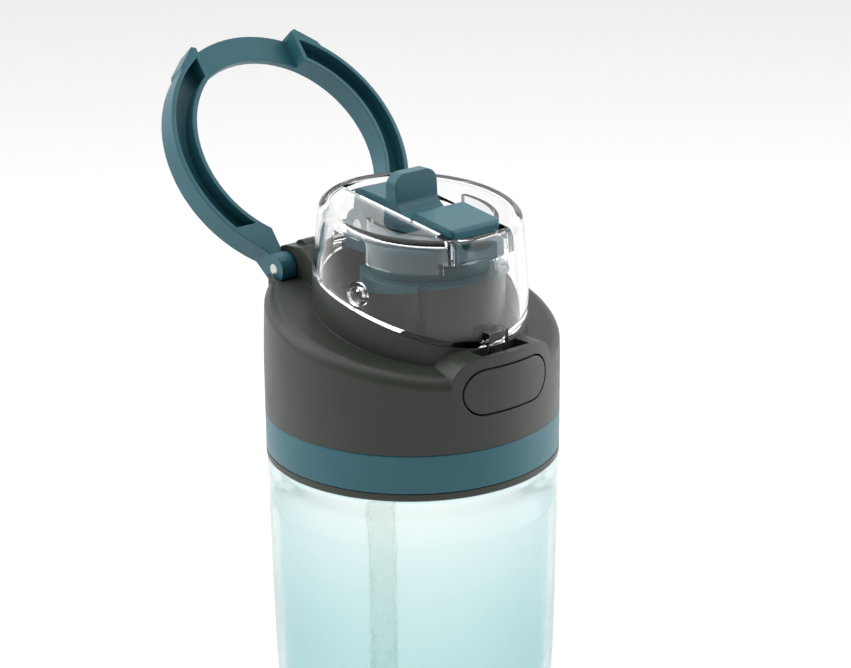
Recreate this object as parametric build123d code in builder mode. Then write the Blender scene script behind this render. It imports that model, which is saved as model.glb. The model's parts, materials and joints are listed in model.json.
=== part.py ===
from build123d import *
import os
from math import cos, radians, sin

os.makedirs("parts", exist_ok=True)

# Driving dimensions, in millimetres. X is across, -Y is the button side, Z is up.
lid_r = 36.5  # outside radius of the lid
band_top = 192.0  # top edge of the coloured band above the table
band_h = 9.8
lip_h = 1.9  # the dark lip under the band
wall = 2.0
shoulder_z = band_top + 25.2  # shoulder plane on the axis
shoulder_slope = 0.222  # rise towards the back, per mm
cover_r = 26.3
cover_y = -3.5
hinge_y = 27.2  # handle pivot
hinge_z = band_top + 32.7
cover_pin_y = 25.4
cover_pin_z = band_top + 36.6
spout_pin_y = 8.5
spout_pin_z = band_top + 44.5
tower_r = 17.0
tower_y = -8.6
drum_y = -7.0
spout_w = 15.0  # across the mouth block
arm_w = 13.0  # across the arm and thumb tab
straw_y = 12.6
straw_r = 3.5
vent_y = 2.0
thread_pitch = 5.0
neck_r = 31.0
mouth_z = band_top + 4.0
deck_z = band_top + 5.2  # underside of the lid's inner deck
deck_t = 2.2
core_r = 34.6
button_w = 25.6
button_h = 10.8
button_z = band_top + 14.2
button_gap = 0.5
housing_half = 15.6
housing_top = band_top + 22.7
lean = 39.4  # the raised loop leans back this far from upright
loop_in = 26.9
loop_out = 33.8
loop_reach = 30.9  # pivot to the loop's own centre
loop_low = -0.9  # the loop's front face, behind the pivot line
loop_deep = 6.2
ear_in = 17.3
ear_out = 21.5
ear_r = 3.8

lip_bottom = band_top - band_h - lip_h
side = Plane.YZ  # local x is the object's Y, local y is its Z


def save(item, name):
    """Name a finished piece and write its file."""
    item.part.label = name
    export_step(item.part, f"parts/{name}.step")


def ring_about(axis_y, axis_z, radius, x_from, x_to):
    """A round bar along X between two stations."""
    with BuildPart(mode=Mode.PRIVATE) as bar:
        with BuildSketch(side.offset(x_from)):
            with Locations((axis_y, axis_z)):
                Circle(radius)
        extrude(amount=x_to - x_from)
    return bar.part


def thread_ridge(radius, start_z, turns, base_w, tip_w, depth, inward=False):
    """A helical ridge of trapezoid section, outward or inward from the given radius."""
    path = Helix(pitch=thread_pitch, height=thread_pitch * turns, radius=radius)
    way = -1 if inward else 1
    with BuildPart(mode=Mode.PRIVATE) as ridge:
        with BuildLine():
            add(path)
        with BuildSketch(Plane(origin=(radius, 0, 0), x_dir=(way, 0, 0), z_dir=(0, 1, 0))):
            with BuildLine():
                Polyline(
                    (-0.25, -base_w / 2),
                    (depth, -tip_w / 2),
                    (depth, tip_w / 2),
                    (-0.25, base_w / 2),
                    close=True,
                )
            make_face()
        sweep(is_frenet=True)
    return Pos(0, 0, start_z) * ridge.part


# The clear tinted bottle: foot, waisted wall, shoulder step and threaded neck.
with BuildPart() as bottle_body:
    with BuildSketch(side):
        with BuildLine():
            Line((0, 3.0), (22.0, 3.0))
            Spline((22.0, 3.0), (25.5, 0.6), (28.5, 0.0), tangents=((1, 0), (1, 0)))
            Line((28.5, 0), (30.0, 0))
            Spline((30.0, 0), (34.6, 5.5), tangents=((1, 0), (0, 1)))
            Spline(
                (34.6, 5.5),
                (35.4, 40.0),
                (34.2, 84.0),
                (35.5, 128.0),
                (36.1, 160.0),
                (36.3, 178.6),
                tangents=((0, 1), (0, 1)),
            )
            Spline((36.3, 178.6), (35.2, 179.9), tangents=((0, 1), (-1, 0)))
            Line((35.2, 179.9), (neck_r, 179.9))
            Line((neck_r, 179.9), (neck_r, mouth_z - 0.5))
            Line((neck_r, mouth_z - 0.5), (neck_r - 0.5, mouth_z))
            Line((neck_r - 0.5, mouth_z), (neck_r - 2.2, mouth_z))
            Line((neck_r - 2.2, mouth_z), (neck_r - 2.2, 178.6))
            Spline(
                (neck_r - 2.2, 178.6),
                (31.5, 174.5),
                (34.1, 168.0),
                tangents=((0, -1), (0.15, -1)),
            )
            Spline(
                (34.1, 168.0),
                (33.5, 128.0),
                (32.2, 84.0),
                (33.4, 40.0),
                (32.6, 9.0),
                tangents=((0, -1), (0, -1)),
            )
            Spline((32.6, 9.0), (28.0, 5.0), tangents=((0, -1), (-1, 0)))
            Line((28.0, 5.0), (0, 5.0))
            Line((0, 5.0), (0, 3.0))
        make_face()
    revolve(axis=Axis.Z)
    add(thread_ridge(neck_r, 184.0, 1.4, 2.2, 1.1, 1.2))
save(bottle_body, "bottle_body")

# The silicone ring that the lid presses onto the bottle's mouth.
with BuildPart() as lid_seal:
    with BuildSketch(Plane.XY.offset(mouth_z)):
        Circle(neck_r - 0.2)
        Circle(neck_r - 2.8, mode=Mode.SUBTRACT)
    extrude(amount=deck_z - mouth_z)
    chamfer(lid_seal.edges().filter_by(GeomType.CIRCLE), 0.25)
save(lid_seal, "lid_seal")

# The threaded core: sleeve, lower lip and the deck that closes the mouth.
with BuildPart() as lid_core:
    with BuildSketch(side):
        with BuildLine():
            Polyline(
                (neck_r + 1.9, lip_bottom),
                (lid_r - 0.4, lip_bottom),
                (lid_r, lip_bottom + 0.4),
                (lid_r, lip_bottom + lip_h),
                (core_r, lip_bottom + lip_h),
                (core_r, deck_z + deck_t),
                (0, deck_z + deck_t),
                (0, deck_z),
                (neck_r + 1.9, deck_z),
                close=True,
            )
        make_face()
    revolve(axis=Axis.Z)
    add(thread_ridge(neck_r + 1.9, 186.5, 1.2, 1.9, 1.0, 1.3, inward=True))
    with BuildSketch(Plane.XY.offset(deck_z)):
        with Locations((0, straw_y)):
            Circle(straw_r + 1.1)
        with Locations((0, vent_y)):
            Circle(2.6)
    extrude(amount=deck_t, mode=Mode.SUBTRACT)
    # Post that the button's spring pushes against.
    with BuildSketch(Plane.XY.offset(deck_z + deck_t)):
        with Locations((0, -15.6)):
            Rectangle(8.0, 3.2)
    extrude(amount=8.8)
save(lid_core, "lid_core")

# The coloured band, with small bevels that leave a fine seam above and below.
with BuildPart() as color_band:
    with BuildSketch(Plane.XY.offset(band_top - band_h)):
        Circle(lid_r)
        Circle(core_r, mode=Mode.SUBTRACT)
    extrude(amount=band_h)
    rims = color_band.edges().filter_by(GeomType.CIRCLE).sort_by(SortBy.RADIUS)[-2:]
    chamfer(rims, 0.3)
save(color_band, "color_band")


def slab_below(base_z, slope, x_half=45.0):
    """Everything under a plane that rises towards the back."""
    low = band_top - 20.0
    with BuildPart(mode=Mode.PRIVATE) as slab:
        with BuildSketch(side.offset(-x_half)):
            Polygon(
                (-45, low),
                (45, low),
                (45, base_z + 45 * slope),
                (-45, base_z - 45 * slope),
                align=None,
            )
        extrude(amount=2 * x_half)
    return slab.part


def below_rim(lift):
    """Everything under the curved line where the clear cover meets the lid."""
    with BuildPart(mode=Mode.PRIVATE) as lower:
        with BuildSketch(side.offset(-45)):
            with BuildLine():
                rise = band_top + lift
                rim = Spline(
                    (-40, rise + 14.5),
                    (-29, rise + 22.9),
                    (-8, rise + 31.9),
                    (10, rise + 35.6),
                    (40, rise + 38.2),
                )
                Polyline(rim @ 1, (40, band_top - 10), (-40, band_top - 10), rim @ 0)
            make_face()
        extrude(amount=90)
    return lower.part


def stadium_prism(width, height, center_z):
    """A long rounded bar along Y, for the button and its opening."""
    with BuildPart(mode=Mode.PRIVATE) as bar:
        with BuildSketch(Plane.XZ.offset(27.6)):
            with Locations((0, center_z)):
                SlotOverall(width, height)
        extrude(amount=12.4)
    return bar.part


def upright(radius, low, high, center_y=0.0):
    """A plain upright cylinder."""
    with BuildPart(mode=Mode.PRIVATE) as post:
        with BuildSketch(Plane.XY.offset(low)):
            with Locations((0, center_y)):
                Circle(radius)
        extrude(amount=high - low)
    return post.part


def block(x_half, y_from, y_to, z_from, z_to):
    """A plain box centred on X, with heights above the band's top edge."""
    with BuildPart(mode=Mode.PRIVATE) as brick:
        with BuildSketch(Plane.XY.offset(band_top + z_from)):
            with Locations((0, (y_from + y_to) / 2)):
                Rectangle(2 * x_half, y_to - y_from)
        extrude(amount=z_to - z_from)
    return brick.part


def tower_column(low, high):
    """The spout tower's outline made solid: round in front, squared towards the back."""
    with BuildPart(mode=Mode.PRIVATE) as column:
        with BuildSketch(Plane.XY.offset(band_top + low)):
            with Locations((0, tower_y)):
                Circle(tower_r)
            with Locations((0, 5.6)):
                RectangleRounded(19.0, 25.2, 3.0)
        extrude(amount=high - low)
    return column.part


def hinge_side(points):
    """Close a hand-drawn side outline; heights are above the band's top edge."""
    return [(y, band_top + z) for y, z in points]


floor_drop = 2.0
tower_foot = slab_below(shoulder_z - floor_drop, shoulder_slope)
tower_top = slab_below(band_top + 32.6, -0.2)
rotor_seat = ring_about(spout_pin_y, spout_pin_z, 6.4, -6.9, 6.9)

groove_bar = Pos(0, -tower_r, band_top + 30) * Box(1.7, 2.4, 40)

lug_half = ear_in - 0.4
with BuildPart() as housing_bar:
    with BuildSketch(Plane.XZ.offset(25.0)):
        with Locations((0, housing_top - 8.0)):
            RectangleRounded(2 * housing_half, 16.0, 6.6)
    extrude(amount=13.0)
housing = housing_bar.part

# The lid's outer shell: skirt, sloping shoulder, cover ring, button housing, hinge lug.
with BuildPart() as lid_shell:
    with BuildSketch(side):
        with BuildLine():
            Line((0, band_top), (lid_r, band_top))
            Line((lid_r, band_top), (lid_r, band_top + 10))
            Spline(
                (lid_r, band_top + 10),
                (lid_r - 0.35, band_top + 24),
                (lid_r - 1.1, band_top + 36),
                tangents=((0, 1), (-0.1, 1)),
            )
            Line((lid_r - 1.1, band_top + 36), (0, band_top + 36))
            Line((0, band_top + 36), (0, band_top))
        make_face()
    revolve(axis=Axis.Z)
    add(slab_below(shoulder_z, shoulder_slope), mode=Mode.INTERSECT)
    shoulder_edge = lid_shell.edges().filter_by(GeomType.BSPLINE).sort_by(SortBy.LENGTH)[-1]
    fillet(shoulder_edge, 3.2)
    # The ring that carries the clear cover.
    add(upright(cover_r, band_top + 12, band_top + 42, cover_y) & below_rim(0))
    # Raised housing for the push button.
    add(housing & upright(lid_r - 0.04, band_top, band_top + 60))
    # Hinge lug with its round barrel.
    lug = hinge_side([(14, 24), (14, 33.5), (22, 38.4), (27.2, 37.9), (32.4, 32.7), (31.5, 28), (29, 24)])
    with BuildSketch(side.offset(-lug_half)):
        Polygon(*lug, align=None)
    extrude(amount=2 * lug_half)
    add(ring_about(hinge_y, hinge_z, 5.2, -lug_half, lug_half))
    add(ring_about(cover_pin_y, cover_pin_z, 2.6, -14, 14))
    # Hollow inside: sleeve bore, sloping ceiling, room for the latch.
    add(upright(core_r, band_top - 1, deck_z + deck_t), mode=Mode.SUBTRACT)
    hollow = upright(34.0, deck_z + deck_t - 0.1, band_top + 60) & slab_below(
        shoulder_z - 2.7, shoulder_slope
    )
    add(hollow, mode=Mode.SUBTRACT)
    add(block(12.6, -33.9, -20, 8, 17.9) & upright(34.0, band_top, band_top + 60), mode=Mode.SUBTRACT)
    add(block(9.5, -33.9, -30.2, 17.5, 20.4), mode=Mode.SUBTRACT)
    add(block(7.4, -34.4, -29.6, 16.5, 30), mode=Mode.SUBTRACT)
    add(stadium_prism(button_w + 2 * button_gap, button_h + 2 * button_gap, button_z), mode=Mode.SUBTRACT)
    flange_room = stadium_prism(button_w + 3.6, 7.2, button_z)
    add(flange_room & upright(34.0, band_top, band_top + 40), mode=Mode.SUBTRACT)
    # Open well inside the ring, with the tower's opening in its floor.
    well = upright(cover_r - 2.0, band_top, band_top + 60, cover_y)
    add(well - slab_below(shoulder_z, shoulder_slope), mode=Mode.SUBTRACT)
    add(tower_column(10, 60), mode=Mode.SUBTRACT)
    # Room around the cover's foot, its knuckles and the handle's ears.
    foot_room = upright(cover_r + 0.5, band_top, band_top + 60, cover_y) - below_rim(0)
    add(foot_room, mode=Mode.SUBTRACT)
    add(ring_about(cover_pin_y, cover_pin_z, 3.0, -9.8, 9.8), mode=Mode.SUBTRACT)
    add(block(9.8, 21.0, 25.4, 37.0, 44), mode=Mode.SUBTRACT)
    ear_floor = ring_about(hinge_y, hinge_z, 6.2, -23, 23) & upright(35.8, band_top, band_top + 60)
    add((ear_floor & slab_below(shoulder_z, shoulder_slope)) - well)
    for start in (lug_half, -lug_half - 5.2):
        add(ring_about(hinge_y, hinge_z, 4.5, start, start + 5.2), mode=Mode.SUBTRACT)
    # Pin holes.
    for start in (10.5, -lug_half):
        add(ring_about(hinge_y, hinge_z, 1.3, start, start + lug_half - 10.5), mode=Mode.SUBTRACT)
    add(ring_about(cover_pin_y, cover_pin_z, 1.2, -13, 13), mode=Mode.SUBTRACT)
save(lid_shell, "lid_shell")

# Dark tower that carries the spout.
with BuildPart() as spout_tower:
    add(tower_column(10, 39.4))
    add(tower_foot, mode=Mode.SUBTRACT)
    add(block(7.6, -28, -18, 8, 18.0), mode=Mode.SUBTRACT)
    front_cap = block(20, -30, 1.5, 20, 50) - tower_top
    add(front_cap, mode=Mode.SUBTRACT)
    side_cap = (block(20, -30, 20, 20, 50) - block(8.2, -31, 21, 19, 51)) - tower_top
    add(side_cap, mode=Mode.SUBTRACT)
    for turn in (50, -50):
        add(Pos(0, tower_y, 0) * Rot(0, 0, turn) * groove_bar, mode=Mode.SUBTRACT)
    add(rotor_seat, mode=Mode.SUBTRACT)
    add(upright(straw_r + 1.1, band_top + 10, band_top + 36, straw_y), mode=Mode.SUBTRACT)
    add(block(4.8, 6.0, 15.6, 35.5, 48), mode=Mode.SUBTRACT)
    # The column is hollow under its crown.
    core = upright(tower_r - 2.2, band_top, band_top + 33, tower_y) & block(20, -30, 4.5, 0, 31)
    add(core, mode=Mode.SUBTRACT)
save(spout_tower, "spout_tower")

collar_top = slab_below(band_top + 37.1, -0.03)
# Wedge-shaped coloured collar around the tower's crown.
with BuildPart() as spout_collar:
    add(upright(tower_r + 0.8, band_top + 25, band_top + 50, tower_y) & collar_top)
    add(tower_top, mode=Mode.SUBTRACT)
    add(upright(14.5, band_top + 20, band_top + 60, drum_y), mode=Mode.SUBTRACT)
    add(block(10.6, 0, 30, 20, 60), mode=Mode.SUBTRACT)
    for turn in (50, -50):
        add(Pos(0, tower_y, 0) * Rot(0, 0, turn) * groove_bar, mode=Mode.SUBTRACT)
save(spout_collar, "spout_collar")

# Coloured drum with the channel that the folded spout lies in, and its pin lugs.
with BuildPart() as spout_base:
    with BuildSketch(Plane.XY.offset(band_top + 28)):
        with Locations((0, drum_y)):
            Circle(14.4)
    extrude(amount=17.6)
    fillet(spout_base.edges().group_by(Axis.Z)[-1], 2.4)
    add(tower_top, mode=Mode.SUBTRACT)
    for low in (6.9, -9.9):
        add(ring_about(spout_pin_y, spout_pin_z, 4.2, low, low + 3.0))
        with BuildSketch(side.offset(low)):
            Polygon(*hinge_side([(3, 39.4), (14, 39.4), (12.4, 45), (3, 45)]), align=None)
        extrude(amount=3.0)
    add(block(10.5, 1.5, 30, 20, 39.4), mode=Mode.SUBTRACT)
    add(block(6.9, -13, 20, 40.7, 60), mode=Mode.SUBTRACT)
    add(block(8.0, -30, -3.1, 40.7, 60), mode=Mode.SUBTRACT)
    add(rotor_seat, mode=Mode.SUBTRACT)
    for low in (6.9, -9.9):
        add(ring_about(spout_pin_y, spout_pin_z, 1.5, low, low + 3.0), mode=Mode.SUBTRACT)
save(spout_base, "spout_base")

# The flip spout: rotor, arm, thumb tab, recess, ridge and mouth block.
with BuildPart() as spout:
    z = band_top
    with BuildSketch(side.offset(-arm_w / 2)):
        with BuildLine():
            Line((-10.0, z + 42.6), (-10.0, z + 50.6))
            ThreePointArc((-10.0, z + 50.6), (-6.8, z + 49.9), (-3.6, z + 51.3))
            ThreePointArc((-3.6, z + 51.3), (-2.8, z + 52.1), (-2.5, z + 53.2))
            Line((-2.5, z + 53.2), (-2.1, z + 59.7))
            Line((-2.1, z + 59.7), (1.1, z + 59.7))
            Line((1.1, z + 59.7), (1.6, z + 53.3))
            Line((1.6, z + 53.3), (11.6, z + 53.9))
            ThreePointArc((11.6, z + 53.9), (13.2, z + 52.8), (13.4, z + 51.0))
            Line((13.4, z + 51.0), (14.5, z + 44.5))
            ThreePointArc((14.5, z + 44.5), (8.5, z + 38.5), (2.5, z + 44.5))
            Line((2.5, z + 44.5), (0.0, z + 43.0))
            Line((0.0, z + 43.0), (-10.0, z + 42.6))
        make_face()
    extrude(amount=arm_w)
    tab_corners = spout.edges().filter_by(Axis.Y, tolerance=3).group_by(Axis.Z)[-1]
    fillet(tab_corners, 3.2)
    # The wider block at the mouth, with a rounded ridge behind its flat top.
    with BuildSketch(side.offset(-spout_w / 2)):
        with BuildLine():
            Line((-24.2, z + 42.0), (-24.2, z + 50.9))
            Line((-24.2, z + 50.9), (-11.8, z + 52.4))
            ThreePointArc((-11.8, z + 52.4), (-10.2, z + 52.3), (-9.2, z + 51.2))
            ThreePointArc((-9.2, z + 51.2), (-8.0, z + 50.2), (-6.4, z + 49.7))
            Line((-6.4, z + 49.7), (-4.0, z + 43.0))
            Line((-4.0, z + 43.0), (-24.2, z + 42.0))
        make_face()
    extrude(amount=spout_w)
    front_edges = spout.edges().group_by(Axis.Y)[0]
    fillet(front_edges, 1.0)
    # Oval drinking hole, channel through the arm, and the port in the rotor.
    with BuildSketch(Plane.XZ.offset(-1 * spout_pin_y)):
        with Locations((0, band_top + 46.4)):
            Ellipse(4.1, 1.9)
    extrude(amount=40, mode=Mode.SUBTRACT)
    add(upright(2.4, band_top + 36, spout_pin_z + 2, 10.2), mode=Mode.SUBTRACT)
    add(ring_about(spout_pin_y, spout_pin_z, 1.56, -6.5, -4.4), mode=Mode.SUBTRACT)
    add(ring_about(spout_pin_y, spout_pin_z, 1.56, 4.4, 6.5), mode=Mode.SUBTRACT)
save(spout, "spout")

# Steel stub pins that the spout turns on.
with BuildPart() as spout_pins:
    add(ring_about(spout_pin_y, spout_pin_z, 1.5, -9.9, -4.5))
    add(ring_about(spout_pin_y, spout_pin_z, 1.5, 4.5, 9.9))
save(spout_pins, "spout_pins")

# Silicone pad under the rotor that joins it to the straw's tube.
with BuildPart() as spout_seal:
    add(block(4.8, 6.0, 15.6, 35.5, 39.4))
    add(ring_about(spout_pin_y, spout_pin_z, 6.05, -8, 8), mode=Mode.SUBTRACT)
    add(upright(2.3, band_top + 30, band_top + 50, 10.4), mode=Mode.SUBTRACT)
    add(upright(2.3, band_top + 30, band_top + 50, 12.6) & block(9, 0, 20, 30, 37), mode=Mode.SUBTRACT)
save(spout_seal, "spout_seal")

# Tube from the pad down through the deck, with a socket for the straw.
with BuildPart() as straw_adapter:
    with BuildSketch(side):
        with Locations((0, 0)):
            Polygon(
                (straw_y + 2.5, band_top + 35.5),
                (straw_y + straw_r + 1.1, band_top + 35.5),
                (straw_y + straw_r + 1.1, deck_z),
                (straw_y + straw_r + 2.4, deck_z),
                (straw_y + straw_r + 2.4, deck_z - 1.4),
                (straw_y + straw_r + 1.3, deck_z - 2.2),
                (straw_y + straw_r + 1.1, deck_z - 10),
                (straw_y + straw_r, deck_z - 10),
                (straw_y + straw_r, deck_z - 1),
                (straw_y + 2.5, deck_z - 1),
                align=None,
            )
    revolve(axis=Axis((0, straw_y, 0), (0, 0, 1)))
save(straw_adapter, "straw_adapter")

# The long straw, cut at a slant at the foot.
with BuildPart() as straw:
    with BuildSketch(Plane.XY.offset(9.0)):
        with Locations((0, straw_y)):
            Circle(straw_r)
            Circle(straw_r - 0.7, mode=Mode.SUBTRACT)
    extrude(amount=deck_z - 1.0 - 9.0)
    with BuildSketch(side.offset(-10)):
        Polygon((5, 5), (25, 5), (25, 8), (5, 16), align=None)
    extrude(amount=20, mode=Mode.SUBTRACT)
save(straw, "straw")

# Silicone vent valve that lets air in as the drinker sips.
with BuildPart() as vent_valve:
    add(upright(4.4, deck_z - 0.9, deck_z, vent_y))
    add(upright(2.6, deck_z, deck_z + deck_t, vent_y))
    add(upright(3.2, deck_z + deck_t, deck_z + deck_t + 1.3, vent_y))
    add(upright(0.6, deck_z - 2, deck_z + 6, vent_y), mode=Mode.SUBTRACT)
save(vent_valve, "vent_valve")


def dome(shrink):
    """The cover's outline as a solid, drawn in from the outside by a wall's thickness."""
    with BuildPart(mode=Mode.PRIVATE) as bell:
        with BuildSketch(side):
            with BuildLine():
                edge = cover_y + cover_r - shrink
                low = band_top + 14
                Line((cover_y, low), (edge, low))
                Line((edge, low), (edge, band_top + 28))
                Spline(
                    (edge, band_top + 28),
                    (edge - 0.7, band_top + 42),
                    (edge - 3.0, band_top + 58),
                    tangents=((0, 1), (-0.22, 1)),
                )
                Line((edge - 3.0, band_top + 58), (cover_y, band_top + 58))
                Line((cover_y, band_top + 58), (cover_y, low))
            make_face()
        revolve(axis=Axis((0, cover_y, 0), (0, 0, 1)))
        add(slab_below(band_top + 52.0 - shrink, 0.11), mode=Mode.INTERSECT)
        fillet(bell.edges().sort_by(Axis.Z)[-1], 2.0 - 0.5 * shrink)
    return bell.part


slot_half = spout_w / 2 + 0.7
slot_front = -25.8
slot_back = 16.4
inner_dome = dome(wall)
mid_dome = dome(wall / 2)

# Clear cover: domed shell, top slot, drum skirt, mouth-block pocket, latch and knuckles.
with BuildPart() as spout_cover:
    add(dome(0) - inner_dome)
    skirt = upright(16.6, band_top + 39.8, band_top + 60, drum_y)
    skirt = skirt - upright(15.3, band_top + 38, band_top + 61, drum_y)
    add(skirt & mid_dome & block(30, -40, -2, 30, 70))
    pocket = block(slot_half + 1.5, -28, -19.6, 43, 60)
    add(pocket & mid_dome)
    with BuildSketch(Plane.XY.offset(band_top + 36)):
        with Locations((0, (slot_front + slot_back) / 2)):
            RectangleRounded(2 * slot_half, slot_back - slot_front, 1.0)
    extrude(amount=29, mode=Mode.SUBTRACT)
    add(below_rim(0.25), mode=Mode.SUBTRACT)
    for boss_x in (-25.0, 22.4):
        add(ring_about(-8.7, band_top + 35.4, 2.9, boss_x, boss_x + 2.6))
    add(ring_about(-8.7, band_top + 35.4, 1.8, -23.4, 23.4), mode=Mode.SUBTRACT)
    add(block(3.1, -31.9, -28.0, 23.5, 26.6))
    add(block(2.2, -31.6, -30.5, 14.6, 24.0))
    add(block(2.2, -30.6, -29.6, 14.6, 16.0))
    for low in (3.2, -9.4):
        add(ring_about(cover_pin_y, cover_pin_z, 2.4, low, low + 6.2))
        with BuildSketch(side.offset(low)):
            Polygon(*hinge_side([(21.4, 37.6), (25.4, 36.8), (25.6, 39.0), (21.6, 42.5)]), align=None)
        extrude(amount=6.2)
    add(ring_about(cover_pin_y, cover_pin_z, 1.27, -10, 10), mode=Mode.SUBTRACT)
save(spout_cover, "spout_cover")

# Steel pin of the cover's hinge.
with BuildPart() as cover_pin:
    add(ring_about(cover_pin_y, cover_pin_z, 1.2, -13, 13))
save(cover_pin, "cover_pin")


def coil(radius, wire_r, pitch, length, plane):
    """A wound wire whose axis is the plane's normal."""
    with BuildPart(mode=Mode.PRIVATE) as wound:
        with BuildLine():
            Helix(pitch=pitch, height=length, radius=radius)
        with BuildSketch(Plane(origin=(radius, 0, 0), x_dir=(1, 0, 0), z_dir=(0, 1, 0))):
            Circle(wire_r)
        sweep(is_frenet=True)
    return plane * wound.part


# Torsion spring wound on the hinge pin, between the cover's knuckles.
with BuildPart() as cover_spring:
    spring_seat = Plane(origin=(-2.3, cover_pin_y, cover_pin_z), x_dir=(0, 1, 0), z_dir=(1, 0, 0))
    add(coil(1.75, 0.28, 0.72, 4.6, spring_seat))
save(cover_spring, "cover_spring")

button_back = lid_r - 3.8
# Push button: a curved stadium face with a flange behind the wall.
with BuildPart() as release_button:
    add(stadium_prism(button_w, button_h, button_z) & upright(lid_r, band_top, band_top + 40))
    add(stadium_prism(button_w + 2.6, 6.2, button_z) & upright(button_back + 1.0, band_top, band_top + 40))
    add(upright(button_back, band_top - 1, band_top + 41), mode=Mode.SUBTRACT)
    add(block(3.5, -34.4, -28, 13, 24), mode=Mode.SUBTRACT)
save(release_button, "release_button")

# Latch slide: two rails from the button, a lip over the cover's tongue, a spring pocket.
with BuildPart() as latch_slide:
    add(block(6.4, -34, -23, 10.4, 17.6) & upright(button_back, band_top, band_top + 40))
    add(block(3.9, -36, -30.3, 8, 30), mode=Mode.SUBTRACT)
    add(block(3.9, -31, -28.9, 8, 16.2), mode=Mode.SUBTRACT)
    with BuildSketch(Plane.XZ.offset(22.0)):
        with Locations((0, band_top + 13.4)):
            Circle(2.7)
    extrude(amount=5.0, mode=Mode.SUBTRACT)
save(latch_slide, "latch_slide")

# Return spring of the button, seated in the slide.
with BuildPart() as button_spring:
    seat = Plane(origin=(0, -26.6, band_top + 13.4), x_dir=(1, 0, 0), z_dir=(0, 1, 0))
    add(coil(2.0, 0.35, 1.3, 5.9, seat))
save(button_spring, "button_spring")

loop_plane = Plane(
    origin=(0, hinge_y, hinge_z),
    x_dir=(1, 0, 0),
    z_dir=(0, -cos(radians(lean)), sin(radians(lean))),
)
loop_back = -(loop_low + loop_deep)
notch_half = 15.1
groove_deep = 4.2


def loop_side(along, behind):
    """A point of the raised loop's side view, from its distance up the loop and behind it."""
    tilt = radians(lean)
    across_y = along * sin(tilt) + behind * cos(tilt)
    return hinge_y + across_y, hinge_z + along * cos(tilt) - behind * sin(tilt)


# Carrying loop: a channelled ring, open at the front, with horns beside the button housing.
with BuildPart() as handle_loop:
    with BuildSketch(loop_plane.offset(loop_back)):
        with Locations((0, loop_reach)):
            Circle(loop_out)
        for way in (1, -1):
            Polygon(
                (way * 23.5, loop_reach + 23.0),
                (way * 21.6, loop_reach + 26.9),
                (way * 16.4, loop_reach + 31.5),
                (way * 15.1, loop_reach + 31.0),
                (way * 15.1, loop_reach + 25.0),
                align=None,
            )
        with Locations((0, loop_reach)):
            Circle(loop_in, mode=Mode.SUBTRACT)
        Rectangle(2 * ear_in, 30, mode=Mode.SUBTRACT)
    extrude(amount=loop_deep)
    with BuildSketch(loop_plane.offset(-loop_low)):
        with Locations((0, loop_reach)):
            Circle(loop_out - 1.15)
            Circle(loop_in + 1.15, mode=Mode.SUBTRACT)
        with Locations((0, -12.0)):
            Rectangle(80, 49, mode=Mode.SUBTRACT)
        with Locations((0, loop_reach + 30)):
            Rectangle(2 * notch_half + 2.4, 20, mode=Mode.SUBTRACT)
    extrude(amount=-groove_deep, mode=Mode.SUBTRACT)
    with BuildSketch(loop_plane.offset(-loop_low)):
        with Locations((0, loop_reach + 30)):
            Rectangle(2 * notch_half, 24)
    extrude(amount=-groove_deep, mode=Mode.SUBTRACT)
    for start in (ear_in, -ear_out):
        with BuildSketch(side.offset(start)):
            with Locations((hinge_y, hinge_z)):
                Circle(ear_r)
            Polygon(
                loop_side(0.0, loop_low),
                loop_side(9.0, loop_low),
                loop_side(9.0, loop_low + loop_deep),
                loop_side(5.0, loop_low + loop_deep),
                loop_side(-0.6, ear_r - 0.05),
                align=None,
            )
        extrude(amount=ear_out - ear_in)
    add(ring_about(hinge_y, hinge_z, 1.37, -25, 25), mode=Mode.SUBTRACT)
save(handle_loop, "handle_loop")

# Steel stub pins that the loop turns on.
with BuildPart() as handle_pins:
    add(ring_about(hinge_y, hinge_z, 1.3, -ear_out, -10.7))
    add(ring_about(hinge_y, hinge_z, 1.3, 10.7, ear_out))
save(handle_pins, "handle_pins")
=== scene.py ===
import json
import math

import bmesh
import bpy
from mathutils import Matrix, Vector


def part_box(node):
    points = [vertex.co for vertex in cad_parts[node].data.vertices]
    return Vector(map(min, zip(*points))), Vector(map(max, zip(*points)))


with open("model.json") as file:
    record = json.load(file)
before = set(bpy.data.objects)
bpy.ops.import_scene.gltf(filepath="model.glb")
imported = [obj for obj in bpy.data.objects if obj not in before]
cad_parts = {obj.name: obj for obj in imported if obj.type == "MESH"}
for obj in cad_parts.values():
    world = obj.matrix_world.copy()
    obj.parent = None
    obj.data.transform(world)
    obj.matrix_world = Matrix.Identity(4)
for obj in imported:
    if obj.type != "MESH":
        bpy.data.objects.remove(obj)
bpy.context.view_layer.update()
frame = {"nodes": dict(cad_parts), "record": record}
nodes = frame["nodes"]

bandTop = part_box("color_band")[1].z
print("frame loaded:", len(nodes), "nodes")


# Materials

def newMaterial(name):
    material = bpy.data.materials.new(name)
    material.use_nodes = True
    shader = material.node_tree.nodes["Principled BSDF"]
    return material, material.node_tree, shader


def addNode(tree, kind, **values):
    node = tree.nodes.new(kind)
    for key, value in values.items():
        if key in node.inputs:
            node.inputs[key].default_value = value
        else:
            setattr(node, key, value)
    return node


def objectNoise(tree, scale, detail=4.0, roughness=0.55):
    place = addNode(tree, "ShaderNodeTexCoord")
    noise = addNode(tree, "ShaderNodeTexNoise", Scale=scale, Detail=detail, Roughness=roughness)
    tree.links.new(place.outputs["Object"], noise.inputs["Vector"])
    return noise


noiseReach = {"low": 0.3, "high": 0.7}  # the part of a noise's range that most of it fills


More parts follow.
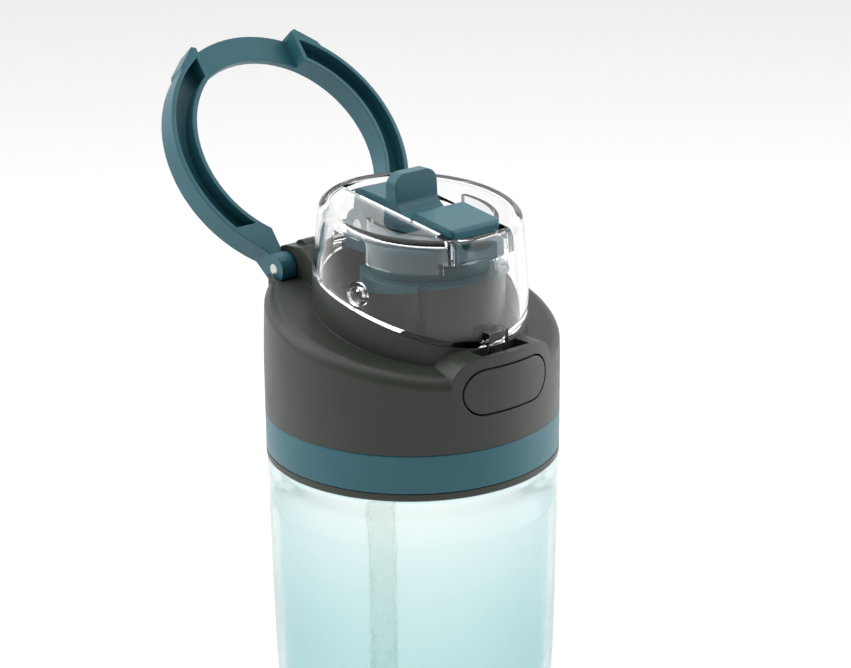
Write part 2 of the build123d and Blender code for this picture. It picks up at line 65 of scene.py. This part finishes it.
def mapRange(tree, source, low, high):
    spread = addNode(tree, "ShaderNodeMapRange")
    spread.inputs["From Min"].default_value = noiseReach["low"]
    spread.inputs["From Max"].default_value = noiseReach["high"]
    spread.inputs["To Min"].default_value = low
    spread.inputs["To Max"].default_value = high
    tree.links.new(source, spread.inputs["Value"])
    return spread.outputs["Result"]


def mottledColour(tree, look, factor):
    blend = addNode(tree, "ShaderNodeMix", data_type="RGBA")
    blend.inputs["A"].default_value = (*look["shadeDark"], 1)
    blend.inputs["B"].default_value = (*look["shadeLight"], 1)
    tree.links.new(factor, blend.inputs["Factor"])
    return blend.outputs["Result"]


def unevenGloss(tree, shader, look, source):
    gloss = mapRange(tree, source, look["roughLow"], look["roughHigh"])
    tree.links.new(gloss, shader.inputs["Roughness"])


def heightFade(tree, low, high):
    place = addNode(tree, "ShaderNodeTexCoord")
    split = addNode(tree, "ShaderNodeSeparateXYZ")
    tree.links.new(place.outputs["Object"], split.inputs["Vector"])
    fade = addNode(tree, "ShaderNodeMapRange", interpolation_type="SMOOTHSTEP")
    fade.inputs["From Min"].default_value = low
    fade.inputs["From Max"].default_value = high
    tree.links.new(split.outputs["Z"], fade.inputs["Value"])
    return fade.outputs["Result"]


def raisedBy(tree, noise, strength, depth):
    bump = addNode(tree, "ShaderNodeBump", Strength=strength, Distance=depth)
    tree.links.new(noise.outputs["Fac"], bump.inputs["Height"])
    return bump


sheenFineness = 3.1  # how much finer the gloss varies than the colour


def mouldedPlastic(name, look):
    material, tree, shader = newMaterial(name)
    links = tree.links
    mottle = objectNoise(tree, look["mottleScale"])
    colour = mottledColour(tree, look, mapRange(tree, mottle.outputs["Fac"], 0.0, 1.0))
    links.new(colour, shader.inputs["Base Color"])
    sheen = objectNoise(tree, look["mottleScale"] * sheenFineness, detail=6.0)
    unevenGloss(tree, shader, look, sheen.outputs["Fac"])
    grain = objectNoise(tree, look["grainScale"], detail=3.0)
    bump = raisedBy(tree, grain, look["grainStrength"], look["grainDepth"])
    soften = addNode(tree, "ShaderNodeBevel", samples=6, Radius=look["edgeRadius"])
    links.new(soften.outputs["Normal"], bump.inputs["Normal"])
    links.new(bump.outputs["Normal"], shader.inputs["Normal"])
    shader.inputs["Specular IOR Level"].default_value = look["specular"]
    return material


def clearPlastic(name, look):
    material, tree, shader = newMaterial(name)
    links = tree.links
    ripple = objectNoise(tree, look["rippleScale"], detail=2.0)
    if "fadeFrom" in look:
        shift = heightFade(tree, look["fadeFrom"], look["fadeTo"])
    else:
        shift = mapRange(tree, ripple.outputs["Fac"], 0.0, 1.0)
    tinted = mottledColour(tree, look, shift)
    if "edgeTint" in look:  # a wall seen along its length looks deeper in colour
        slant = addNode(tree, "ShaderNodeLayerWeight", Blend=look["edgeBlend"])
        deepen = addNode(tree, "ShaderNodeMix", data_type="RGBA")
        deepen.inputs["B"].default_value = (*look["edgeTint"], 1)
        links.new(slant.outputs["Facing"], deepen.inputs["Factor"])
        links.new(tinted, deepen.inputs["A"])
        tinted = deepen.outputs["Result"]
    links.new(tinted, shader.inputs["Base Color"])
    bump = raisedBy(tree, ripple, look["rippleStrength"], look["rippleDepth"])
    links.new(bump.outputs["Normal"], shader.inputs["Normal"])
    haze = objectNoise(tree, look["hazeScale"], detail=5.0)
    unevenGloss(tree, shader, look, haze.outputs["Fac"])
    shader.inputs["Transmission Weight"].default_value = 1.0
    shader.inputs["IOR"].default_value = look["ior"]
    return material


def silicone(name, look):
    material = mouldedPlastic(name, look)
    shader = material.node_tree.nodes["Principled BSDF"]
    shader.inputs["Transmission Weight"].default_value = look["seeThrough"]
    shader.inputs["Subsurface Weight"].default_value = look["glow"]
    shader.inputs["IOR"].default_value = look["ior"]
    shader.inputs["Subsurface Scale"].default_value = look["glowDepth"]
    return material


def drawnSteel(name, look):
    material, tree, shader = newMaterial(name)
    lines = objectNoise(tree, look["lineScale"], detail=8.0, roughness=0.7)
    colour = mottledColour(tree, look, mapRange(tree, lines.outputs["Fac"], 0.0, 1.0))
    tree.links.new(colour, shader.inputs["Base Color"])
    unevenGloss(tree, shader, look, lines.outputs["Fac"])
    shader.inputs["Metallic"].default_value = 1.0
    return material


darkLook = {
    "shadeDark": (0.034, 0.040, 0.032),
    "shadeLight": (0.041, 0.048, 0.038),
    "roughLow": 0.36,
    "roughHigh": 0.44,
    "mottleScale": 45.0,
    "grainScale": 2600.0,
    "grainStrength": 0.04,
    "grainDepth": 0.0001,
    "edgeRadius": 0.0004,
    "specular": 0.36,
}
blueLook = {
    "shadeDark": (0.020, 0.112, 0.143),
    "shadeLight": (0.025, 0.126, 0.161),
    "roughLow": 0.34,
    "roughHigh": 0.42,
    "mottleScale": 50.0,
    "grainScale": 2600.0,
    "grainStrength": 0.04,
    "grainDepth": 0.0001,
    "edgeRadius": 0.0004,
    "specular": 0.4,
}
tintLook = {
    "shadeDark": (0.64, 0.785, 0.785),
    "shadeLight": (0.945, 0.97, 0.965),
    "fadeFrom": 0.118,  # height where the tint is deepest
    "fadeTo": 0.180,
    "edgeTint": (0.42, 0.62, 0.65),
    "edgeBlend": 0.30,
    "rippleScale": 16.0,
    "rippleStrength": 0.006,
    "rippleDepth": 0.0003,
    "hazeScale": 60.0,
    "roughLow": 0.10,
    "roughHigh": 0.14,
    "ior": 1.20,
}
coverLook = {
    "shadeDark": (0.972, 0.978, 0.976),
    "shadeLight": (0.982, 0.986, 0.984),
    "rippleScale": 30.0,
    "rippleStrength": 0.04,
    "rippleDepth": 0.0003,
    "hazeScale": 70.0,
    "roughLow": 0.0,
    "roughHigh": 0.015,
    "ior": 1.44,
}
siliconeLook = {
    "shadeDark": (0.70, 0.74, 0.72),
    "shadeLight": (0.78, 0.80, 0.78),
    "roughLow": 0.42,
    "roughHigh": 0.52,
    "mottleScale": 60.0,
    "grainScale": 1800.0,
    "grainStrength": 0.05,
    "grainDepth": 0.0001,
    "edgeRadius": 0.0003,
    "specular": 0.4,
    "seeThrough": 0.35,
    "glow": 0.2,
    "glowDepth": 0.004,
    "ior": 1.41,
}
strawLook = dict(
    siliconeLook,
    shadeDark=(0.965, 0.985, 0.972),
    shadeLight=(0.985, 0.995, 0.985),
    seeThrough=0.97,
    glow=0.0,
    ior=1.2,
    roughLow=0.2,
    roughHigh=0.3,
    grainScale=300.0,
    grainStrength=0.01,
)
steelLook = {
    "shadeDark": (0.50, 0.50, 0.49),
    "shadeLight": (0.64, 0.64, 0.63),
    "lineScale": 900.0,
    "roughLow": 0.22,
    "roughHigh": 0.34,
}

finishes = {
    "dark_plastic": mouldedPlastic("darkPlastic", darkLook),
    "blue_plastic": mouldedPlastic("bluePlastic", blueLook),
    "tinted_clear": clearPlastic("tintedClear", tintLook),
    "clear_plastic": clearPlastic("clearPlastic", coverLook),
    "pale_silicone": silicone("paleSilicone", siliconeLook),
    "straw_plastic": silicone("strawPlastic", strawLook),
    "steel": drawnSteel("drawnSteel", steelLook),
}
slotOf = {part["node"]: part["material_slot"] for part in frame["record"]["subparts"]}
for nodeName, nodeObject in nodes.items():
    nodeObject.data.materials.clear()
    nodeObject.data.materials.append(finishes[slotOf[nodeName]])
print("materials set")


# Floor, light and camera

floorPlan = {
    "half": 6.0,
    "cells": 6,
    "gap": 0.0002,  # how far the floor lies below the bottle's foot
    "shade": (0.93, 0.93, 0.925),
    "roughness": 0.7,
}


def makeFloor():
    mesh = bpy.data.meshes.new("floorMesh")
    build = bmesh.new()
    cells = floorPlan["cells"]
    bmesh.ops.create_grid(build, x_segments=cells, y_segments=cells, size=floorPlan["half"])
    build.to_mesh(mesh)
    build.free()
    floor = bpy.data.objects.new("floor", mesh)
    floor.location.z = -floorPlan["gap"]
    bpy.context.scene.collection.objects.link(floor)
    material, tree, shader = newMaterial("paleFloor")
    shader.inputs["Base Color"].default_value = (*floorPlan["shade"], 1)
    shader.inputs["Roughness"].default_value = floorPlan["roughness"]
    mesh.materials.append(material)


lightPlan = [
    {"name": "leftPanel", "at": (-0.60, 0.55, 0.85), "size": (0.7, 1.1), "power": 5.0},
    {"name": "rightPanel", "at": (0.95, -0.45, 0.45), "size": (0.6, 1.1), "power": 6.0},
    {"name": "topPanel", "at": (0.0, 0.15, 1.15), "size": (1.1, 1.1), "power": 3.0},
]
roomPlan = {
    "dimSide": (-0.62, -0.75, 0.2),  # the darker side of the room, in front of the bottle
    "dimFrom": -0.15,  # how squarely a direction faces that side before it starts to dim
    "dim": 0.10,
    "bright": 1.15,
}


def makeLights(aim):
    for plan in lightPlan:
        data = bpy.data.lights.new(plan["name"], "AREA")
        data.shape = "RECTANGLE"
        data.size, data.size_y = plan["size"]
        data.energy = plan["power"]
        lamp = bpy.data.objects.new(plan["name"], data)
        lamp.location = plan["at"]
        toAim = aim - Vector(plan["at"])
        lamp.rotation_euler = toAim.to_track_quat("-Z", "Y").to_euler()
        bpy.context.scene.collection.objects.link(lamp)
    world = bpy.data.worlds.new("softRoom")
    world.use_nodes = True
    tree = world.node_tree
    sky = tree.nodes["Background"]
    place = addNode(tree, "ShaderNodeTexCoord")
    facing = addNode(tree, "ShaderNodeVectorMath", operation="DOT_PRODUCT")
    facing.inputs[1].default_value = roomPlan["dimSide"]
    tree.links.new(place.outputs["Generated"], facing.inputs[0])
    spread = addNode(tree, "ShaderNodeMapRange", interpolation_type="SMOOTHSTEP")
    spread.inputs["From Min"].default_value = roomPlan["dimFrom"]
    spread.inputs["From Max"].default_value = 1.0
    spread.inputs["To Min"].default_value = roomPlan["bright"]
    spread.inputs["To Max"].default_value = roomPlan["dim"]
    tree.links.new(facing.outputs["Value"], spread.inputs["Value"])
    tree.links.new(spread.outputs["Result"], sky.inputs["Strength"])
    sky.inputs["Color"].default_value = (1.0, 1.0, 1.0, 1)
    bpy.context.scene.world = world


cameraPlan = {
    "azimuth": -40.0,
    "elevation": 20.45,
    "distance": 0.6119,
    "roll": 0.60,
    "lens": 104.17,
    "sensor": 36.0,
    "nearest": 0.01,
    "aimRight": -0.0053,  # where the aim point sits in the view, as a slope from its middle
    "aimUp": -0.0276,
}


def makeCamera(aim):
    turn = math.radians(cameraPlan["azimuth"])
    lift = math.radians(cameraPlan["elevation"])
    flat = math.cos(lift)
    back = Vector((math.sin(turn) * flat, -math.cos(turn) * flat, math.sin(lift)))
    data = bpy.data.cameras.new("mainCamera")
    data.lens = cameraPlan["lens"]
    data.sensor_width = cameraPlan["sensor"]
    data.clip_start = cameraPlan["nearest"]
    camera = bpy.data.objects.new("mainCamera", data)
    bpy.context.scene.collection.objects.link(camera)
    look = (-back).to_track_quat("-Z", "Y").to_matrix().to_4x4()
    rolled = Matrix.Rotation(-math.radians(cameraPlan["roll"]), 4, "Z")
    seen = Vector((cameraPlan["aimRight"], cameraPlan["aimUp"], -1.0)).normalized()
    shift = seen.rotation_difference(Vector((0, 0, -1))).to_matrix().to_4x4()
    place = Matrix.Translation(aim + back * cameraPlan["distance"])
    camera.matrix_world = place @ look @ rolled @ shift
    bpy.context.scene.camera = camera


aimPoint = Vector((0.0, 0.0, bandTop))
makeFloor()
makeLights(aimPoint)
makeCamera(aimPoint)
bpy.context.scene.view_settings.view_transform = "Standard"
print("stage, lights and camera set")
